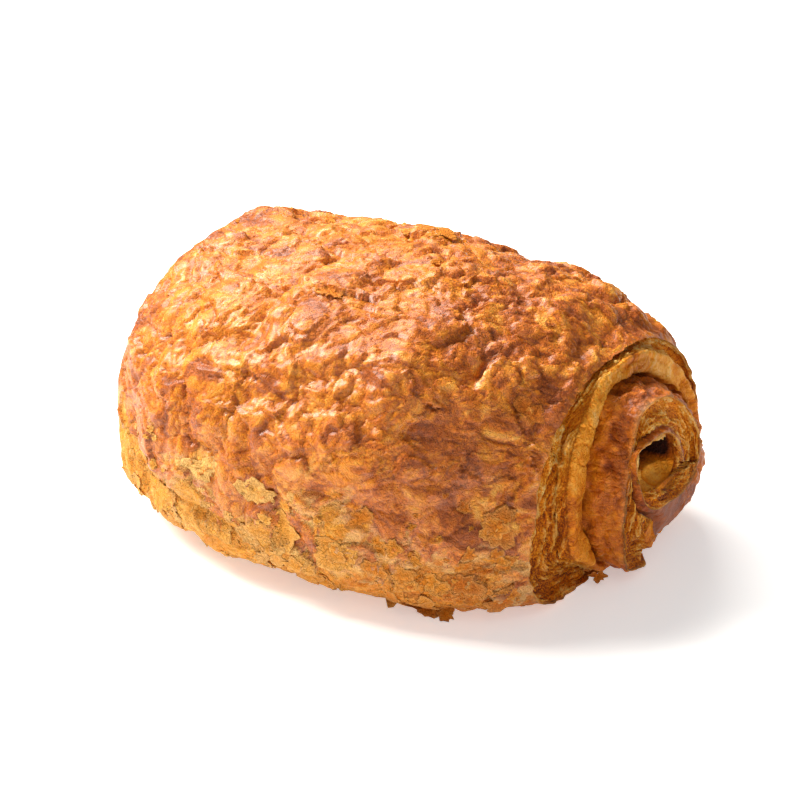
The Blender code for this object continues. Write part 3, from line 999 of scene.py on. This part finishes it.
def layer_relief(depth, along):
    """Thin torn sheets that follow the winding, from 0 in the gaps to 1 on their edges."""
    flat = np.zeros_like(depth)
    drift = np.stack([along, depth, flat], -1)
    waver = sum(reach * lattice_noise(drift, size, seed) for size, seed, reach in SHEET_WAVERS)
    spot = np.stack([(depth + waver) / SHEET_APART, along / SHEET_LONG, flat], -1)
    sheets = 1.0 - SHEET_SHARP * np.abs(lattice_noise(spot, 1.0, SHEET_SEED))
    fine_sheets = 1.0 - SHEET_SHARP * np.abs(lattice_noise(spot * FINE_SHEETS, 1.0, FINE_SHEET_SEED))
    holes = ease(*HOLE_RANGE, lattice_noise(spot * HOLE_SPACING, 1.0, HOLE_SEED))
    layers = SHEET_SHARE * sheets + FINE_SHEET_SHARE * fine_sheets - HOLE_SHARE * holes
    return np.clip(layers, 0.0, 1.0), spot * SHEET_GRAIN


def torn_outline(rng):
    """Radius of a torn scrap at each of its spokes, as a share of its size."""
    angles = 2 * np.pi * np.arange(FLAKE_SPOKES) / FLAKE_SPOKES
    outline = 1.0 + rng.uniform(-OUTLINE_ROUGH, OUTLINE_ROUGH, FLAKE_SPOKES)
    for wave in OUTLINE_WAVES:
        deep = rng.uniform(0.0, OUTLINE_WAVE_DEEP) / wave
        outline += deep * np.cos(wave * angles + rng.uniform(0, 2 * np.pi))
    return angles, np.clip(outline, *OUTLINE_LIMITS)


def make_flake(tree, centre, normal, size, lift, rng):
    """A thin torn scrap that follows the crust under it, one side curling away."""
    side = Vector((0.0, 0.0, 1.0)).cross(normal)
    side = side.normalized() if side.length > LEVEL_LIMIT else Vector((1.0, 0.0, 0.0))
    rise = normal.cross(side)
    angles, outline = torn_outline(rng)
    stretch = rng.uniform(*FLAKE_STRETCH)
    lean = rng.uniform(0, 2 * np.pi)
    curl_from = -np.pi / 2 + rng.uniform(-CURL_SPREAD, CURL_SPREAD)
    spots = []
    heights = []
    curls = []
    for ring in FLAKE_RINGS:
        for angle, radius in zip(angles - lean, outline):
            across = size * ring * radius * np.cos(angle)
            up = stretch * size * ring * radius * np.sin(angle)
            spot = centre + side * across + rise * up
            hit = tree.ray_cast(spot + normal * RAY_REACH, -normal, 2 * RAY_REACH)[0] if tree else None
            heights.append((hit - spot).dot(normal) if hit else 0.0)
            curls.append(ring ** 2 * max(0.0, np.cos(angle - curl_from)))
            spots.append(spot)
    heights = np.minimum(heights, np.median(heights) + FLAKE_CREST)
    heights = FLAKE_FOLLOW * heights + (1.0 - FLAKE_FOLLOW) * np.median(heights)
    heights += lift * np.array(curls) + FLAKE_GAP
    tops = np.array([spot + normal * height for spot, height in zip(spots, heights)])
    top_middle = tops[:FLAKE_SPOKES].mean(axis=0)
    bottoms = tops[-FLAKE_SPOKES:] - np.array(normal) * FLAKE_THICK
    low_middle = bottoms.mean(axis=0) - np.array(normal) * FLAKE_BELLY
    ring_share = np.repeat(FLAKE_RINGS, FLAKE_SPOKES)
    share = np.concatenate([[0.0], ring_share, np.ones(FLAKE_SPOKES), [0.0]])
    return np.concatenate([[top_middle], tops, bottoms, [low_middle]]), share


def flake_faces():
    """Faces shared by all flakes: rings of the top, its thin rim, and the underside."""
    rings = len(FLAKE_RINGS)
    at = np.arange(FLAKE_SPOKES)
    ahead = (at + 1) % FLAKE_SPOKES
    faces = [np.stack([np.zeros_like(at), np.zeros_like(at), 1 + at, 1 + ahead], -1)]
    for ring in range(rings):
        low = 1 + ring * FLAKE_SPOKES
        high = low + FLAKE_SPOKES
        faces.append(np.stack([low + at, high + at, high + ahead, low + ahead], -1))
    last = np.full_like(at, 1 + (rings + 1) * FLAKE_SPOKES)
    low = 1 + rings * FLAKE_SPOKES
    faces.append(np.stack([last, last, low + ahead, low + at], -1))
    return np.concatenate(faces)


def pick_flakes(points, normals, count, chance, rng):
    """Seeded places on a surface, taken as often as the given chance says."""
    chosen = []
    while len(chosen) < count:
        at = rng.randint(len(points))
        if rng.uniform() < chance(points[at]):
            chosen.append((Vector(points[at]), Vector(normals[at])))
    return chosen


def end_chance(point):
    """Flakes cling to the lower parts of the spiral ends."""
    return float(ease(*END_CLING, point[2]) * ease(*FOOT_CLING, point[2]))


def side_chance(point):
    """Flakes cling to the lower and middle sides of the crust, few to its top."""
    inland = ease(LENGTH / 2 + RIM_CLING[0], LENGTH / 2 + RIM_CLING[1], abs(point[0]))
    low = ease(*SIDE_CLING, point[2]) * ease(*FOOT_CLING, point[2])
    return float(inland * max(TOP_CHANCE, low))


def flake_places(surfaces, rng):
    """The surface under each flake, its centre, its normal and its size."""
    corners = []
    faces = []
    start = 0
    for points, quads, _ in surfaces:
        corners.append(points)
        faces.append(quads + start)
        start += len(points)
    tree = BVHTree.FromPolygons(np.concatenate(corners).tolist(), np.concatenate(faces).tolist())
    chances = {"side": side_chance, "end": end_chance}
    places = []
    for (surface, _, normals), (count, part, largest) in zip(surfaces, FLAKES):
        for centre, normal in pick_flakes(surface, normals, count, chances[part], rng):
            size = FLAKE_LEAST + largest * rng.uniform() ** FLAKE_RARITY
            places.append((tree, centre, normal, size))
    for x, y, z, size in SHARDS:
        places.append((None, Vector((x, y, z)), Vector(SHARD_NORMAL).normalized(), size))
    return places


def build_flakes(surfaces, material):
    """Torn flakes of crust lying on the sides and standing away at their edges."""
    rng = np.random.RandomState(FLAKE_SEED)
    shared = flake_faces()
    points, quads, values = [], [], []
    total = 0
    for tree, centre, normal, size in flake_places(surfaces, rng):
        lift = rng.uniform(*CURL_LIFT) + CURL_BY_SIZE * size * rng.uniform()
        flake, share = make_flake(tree, centre, normal, size, lift, rng)
        high = ease(*FLAKE_HIGH_RANGE, centre.z)
        near = ease(*FLAKE_NEAR_RANGE, centre.x)
        bake_and_shade = FLAKE_BAKE + FLAKE_BAKE_SPREAD * rng.uniform() + FLAKE_BAKE_EDGE * share
        # Flakes darker toward the near end, partly painted shade
        bake_and_shade += FLAKE_BAKE_HIGH * high + FLAKE_NEAR_SHADE_AND_BAKE * near
        torn = FLAKE_TORN * share ** 3 * (1.0 - FLAKE_TORN_HIGH * high)
        rust = np.full_like(share, FLAKE_RUST + FLAKE_RUST_SPREAD * rng.uniform())
        points.append(flake)
        quads.append(shared + total)
        values.append(np.column_stack([bake_and_shade, torn, rust]))
        total += len(flake)
    points = np.concatenate(points)
    points[:, 2] = np.maximum(points[:, 2], GROUND_GAP)
    bake_and_shade, torn, rust = np.concatenate(values).T
    fields = {"bake_and_shade": bake_and_shade, "torn": torn, "gloss": np.full_like(bake_and_shade, FLAKE_GLOSS),
              "rust": rust, "fibre": np.zeros_like(bake_and_shade)}
    add_piece("flakes", points, np.concatenate(quads), fields, points, material)


def srgb(red, green, blue):
    """Linear colour of a colour as it looks on a screen."""
    shares = np.array([red, green, blue]) / 255.0
    linear = np.where(shares > 0.04045, ((shares + 0.055) / 1.055) ** 2.4, shares / 12.92)
    return (*linear.tolist(), 1.0)


def add_node(tree, kind, **values):
    """A node of the given kind with its options set."""
    node = tree.nodes.new(kind)
    for key, value in values.items():
        setattr(node, key, value)
    return node


def feed(tree, socket, value):
    """Set a socket to a plain value, or link the output of another node to it."""
    if isinstance(value, bpy.types.NodeSocket):
        tree.links.new(value, socket)
    else:
        socket.default_value = value


def add_math(tree, operation, *values):
    """Result of a math node fed with numbers and outputs of other nodes."""
    node = add_node(tree, "ShaderNodeMath", operation=operation)
    for socket, value in zip(node.inputs, values):
        feed(tree, socket, value)
    return node.outputs[0]


def add_noise(tree, settings, spot, **values):
    """Height of a noise texture read at the given place."""
    node = add_node(tree, "ShaderNodeTexNoise", **values)
    for socket, value in settings.items():
        node.inputs[socket].default_value = value
    tree.links.new(spot, node.inputs["Vector"])
    return node.outputs["Fac"]


def add_mix(tree, share, under, over):
    """A share of one colour laid over another."""
    node = add_node(tree, "ShaderNodeMix", data_type="RGBA")
    node.inputs["B"].default_value = srgb(*over)
    tree.links.new(share, node.inputs["Factor"])
    tree.links.new(under, node.inputs["A"])
    return node.outputs["Result"]


def set_ramp(node, stops):
    """Colours of a ramp, each at its place."""
    ramp = node.color_ramp
    while len(ramp.elements) < len(stops):
        ramp.elements.new(1.0)
    for element, (place, colour) in zip(ramp.elements, stops):
        element.position = place
        element.color = srgb(*colour)


def pastry_material(name, softness):
    """Baked dough: pale straw through gold and orange to red-brown, glossy where washed."""
    material = bpy.data.materials.new(name)
    material.use_nodes = True
    tree = material.node_tree
    shader = tree.nodes["Principled BSDF"]
    fields = {field: add_node(tree, "ShaderNodeAttribute", attribute_name=field).outputs
              for field in FIELDS}
    fibre = fields["fibre"]["Fac"]
    gloss = fields["gloss"]["Fac"]
    grain = fields["grain"]["Vector"]

    place = add_node(tree, "ShaderNodeTexCoord").outputs["Object"]
    speckle = add_math(tree, "MULTIPLY", add_noise(tree, CRUMB, place), fibre)
    crumb = add_math(tree, "MULTIPLY_ADD", fibre, -NOISE_MIDDLE, speckle)
    crumbly = add_math(tree, "MULTIPLY_ADD", crumb, CRUMB_TONE, fields["bake_and_shade"]["Fac"])
    mottle = add_math(tree, "SUBTRACT", add_noise(tree, MOTTLE, grain), NOISE_MIDDLE)
    contrast = add_math(tree, "MULTIPLY_ADD", fibre, MOTTLE_TORN, MOTTLE_PLAIN)
    ramp = add_node(tree, "ShaderNodeValToRGB")
    set_ramp(ramp, BAKE_COLOURS)
    feed(tree, ramp.inputs["Fac"], add_math(tree, "MULTIPLY_ADD", mottle, contrast, crumbly))
    torn = add_math(tree, "MULTIPLY", fields["torn"]["Fac"], TORN_STRENGTH)
    rust = add_math(tree, "MULTIPLY", fields["rust"]["Fac"], RUST_STRENGTH)
    colour = add_mix(tree, torn, ramp.outputs["Color"], TORN_COLOUR)
    colour = add_mix(tree, rust, colour, RUST_COLOUR)

    rough = add_node(tree, "ShaderNodeMapRange")
    rough.inputs["To Min"].default_value = DULL_ROUGHNESS
    rough.inputs["To Max"].default_value = WASHED_ROUGHNESS
    feed(tree, rough.inputs["Value"], gloss)
    fine = add_node(tree, "ShaderNodeBump")
    fine.inputs["Strength"].default_value = 1.0
    fine.inputs["Distance"].default_value = GRAIN_DEEP
    ridges = add_noise(tree, GRAIN, grain, noise_type="RIDGED_MULTIFRACTAL")
    feed(tree, fine.inputs["Height"], add_math(tree, "MULTIPLY_ADD", speckle, GRAIN_CRUMB, ridges))

    sockets = {
        "Base Color": colour,
        "Roughness": rough.outputs["Result"],
        "Coat Weight": add_math(tree, "MULTIPLY", gloss, COAT),
        "Coat Roughness": COAT_ROUGHNESS,
        "Specular IOR Level": SPECULAR,
        "Subsurface Weight": softness,
        "Subsurface Radius": SOFT_RADIUS,
        "Subsurface Scale": 1.0,
        "Normal": fine.outputs["Normal"],
    }
    for socket, value in sockets.items():
        feed(tree, shader.inputs[socket], value)
    return material


def build_floor():
    """A wide pale floor under the pastry."""
    mesh = bpy.data.meshes.new("floor")
    corners = [(x * FLOOR_HALF, y * FLOOR_HALF, 0.0) for x, y in ((-1, -1), (1, -1), (1, 1), (-1, 1))]
    mesh.from_pydata(corners, [], [(0, 1, 2, 3)])
    material = bpy.data.materials.new("floor_white")
    material.use_nodes = True
    shader = material.node_tree.nodes["Principled BSDF"]
    shader.inputs["Base Color"].default_value = FLOOR_COLOUR
    shader.inputs["Roughness"].default_value = FLOOR_ROUGHNESS
    shader.inputs["Emission Color"].default_value = WHITE
    shader.inputs["Emission Strength"].default_value = FLOOR_GLOW
    mesh.materials.append(material)
    floor = bpy.data.objects.new("floor", mesh)
    bpy.context.scene.collection.objects.link(floor)


def camera_axes():
    """Directions to the right, up and back from the camera's view."""
    azimuth, elevation = np.radians((VIEW_AZIMUTH, VIEW_ELEVATION))
    back = Vector((np.sin(azimuth) * np.cos(elevation),
                   -np.cos(azimuth) * np.cos(elevation), np.sin(elevation)))
    right = Vector((np.cos(azimuth), np.sin(azimuth), 0.0))
    return right, back.cross(right), back


def build_camera():
    """Camera at the photo's angle, aimed a little beside the middle."""
    right, up, back = camera_axes()
    lens = bpy.data.cameras.new("camera")
    lens.lens = LENS
    lens.sensor_width = SENSOR
    camera = bpy.data.objects.new("camera", lens)
    turn = Matrix((right, up, back)).transposed().to_4x4()
    turn.translation = Vector(AIM) + AIM_RIGHT * right + AIM_UP * up + VIEW_DISTANCE * back
    camera.matrix_world = turn
    bpy.context.scene.collection.objects.link(camera)
    bpy.context.scene.camera = camera


def add_light(light, axes):
    """A square soft light that points at the pastry."""
    right, up, back = axes
    data = bpy.data.lights.new(light.name, "AREA")
    data.size = light.size
    data.energy = light.power
    data.color = light.colour
    lamp = bpy.data.objects.new(light.name, data)
    away = light.right * right + light.up * up + light.back * back
    lamp.location = Vector(AIM) + away
    lamp.rotation_euler = away.to_track_quat("Z", "Y").to_euler()
    bpy.context.scene.collection.objects.link(lamp)


def build_light():
    """Soft lights from above and behind, a weak fill and a pale room."""
    for light in LIGHTS:
        add_light(light, camera_axes())
    world = bpy.data.worlds.new("room")
    world.use_nodes = True
    room = world.node_tree.nodes["Background"]
    room.inputs["Color"].default_value = WHITE
    room.inputs["Strength"].default_value = ROOM_GLOW
    bpy.context.scene.world = world
    bpy.context.scene.view_settings.view_transform = "Standard"


def main():
    """Build the studio, the dressed pastry and its flakes."""
    build_camera()
    build_light()
    build_floor()
    dough = pastry_material("baked_dough", DOUGH_SOFTNESS)
    scrap = pastry_material("torn_flake", FLAKE_SOFTNESS)
    crust = build_crust(dough)
    near_end = build_end(FRONT, ("near_rim", "near_core"), NEAR_STEPS, NEAR_RINGS, dough)
    far_end = build_end(BACK, ("far_end",), FAR_STEPS, FAR_RINGS, dough)
    build_flakes((crust, near_end, far_end), scrap)


main()
